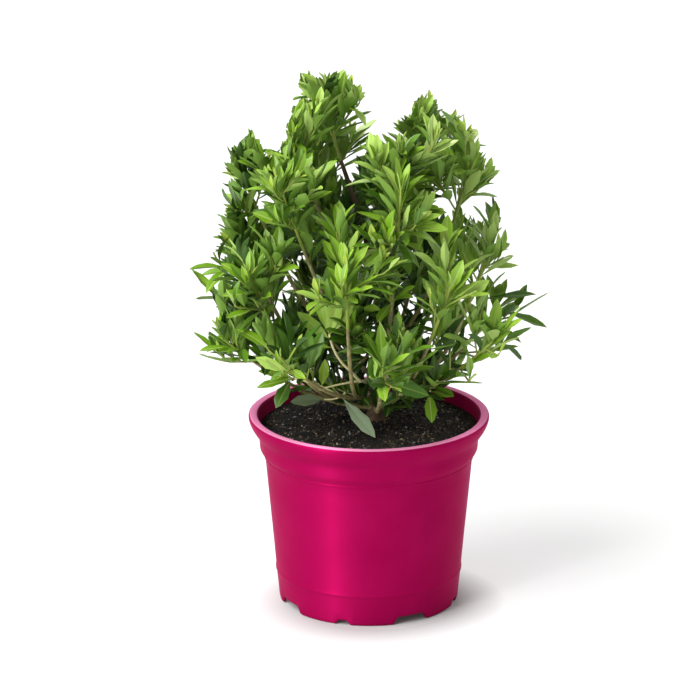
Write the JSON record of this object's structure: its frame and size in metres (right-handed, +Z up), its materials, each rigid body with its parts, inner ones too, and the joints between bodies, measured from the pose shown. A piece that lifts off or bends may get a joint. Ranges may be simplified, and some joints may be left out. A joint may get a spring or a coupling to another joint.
{
  "type": "potted shrub",
  "caption": "Young evergreen shrub with dense small pointed leaves, in a round tapered plastic nursery pot with a rolled rim.",
  "frame": {"origin": "centre of the pot's flat underside", "axes": "+Z up along the pot's axis, -Y towards the side that the picture shows, +X to the right in the picture"},
  "size_m": [0.2814, 0.286, 0.4345],
  "materials": {
    "pot": "satin, moulded",
    "soil": "dark crumbly peat",
    "bark": "thin rough bark",
    "shoots": "young green-brown wood",
    "foliage": "satin leaves"
  },
  "bodies": {
    "root": {"pot": "pot", "soil": "soil", "trunk": "bark", "bough_low_1": "shoots", "bough_low_2": "shoots", "bough_low_3": "shoots", "bough_low_4": "shoots", "bough_low_5": "shoots", "bough_low_6": "shoots", "bough_low_7": "shoots", "bough_low_8": "shoots", "bough_middle_1": "shoots", "bough_middle_2": "shoots", "bough_middle_3": "shoots", "bough_middle_4": "shoots", "bough_middle_5": "shoots", "bough_middle_6": "shoots", "bough_middle_7": "shoots", "bough_middle_8": "shoots", "bough_high_1": "shoots", "bough_high_2": "shoots", "bough_high_3": "shoots", "bough_high_4": "shoots", "bough_high_5": "shoots", "bough_high_6": "shoots", "bough_top_1": "shoots", "bough_top_2": "shoots", "bough_top_3": "shoots", "bough_top_4": "shoots", "foliage_low_1": "foliage", "foliage_low_2": "foliage", "foliage_low_3": "foliage", "foliage_low_4": "foliage", "foliage_low_5": "foliage", "foliage_low_6": "foliage", "foliage_low_7": "foliage", "foliage_low_8": "foliage", "foliage_middle_1": "foliage", "foliage_middle_2": "foliage", "foliage_middle_3": "foliage", "foliage_middle_4": "foliage", "foliage_middle_5": "foliage", "foliage_middle_6": "foliage", "foliage_middle_7": "foliage", "foliage_middle_8": "foliage", "foliage_high_1": "foliage", "foliage_high_2": "foliage", "foliage_high_3": "foliage", "foliage_high_4": "foliage", "foliage_high_5": "foliage", "foliage_high_6": "foliage", "foliage_top_1": "foliage", "foliage_top_2": "foliage", "foliage_top_3": "foliage", "foliage_top_4": "foliage", "foliage_leader": "foliage", "foliage_inner_1": "foliage", "foliage_inner_2": "foliage", "foliage_inner_3": "foliage", "foliage_inner_4": "foliage"}
  },
  "joints": []
}
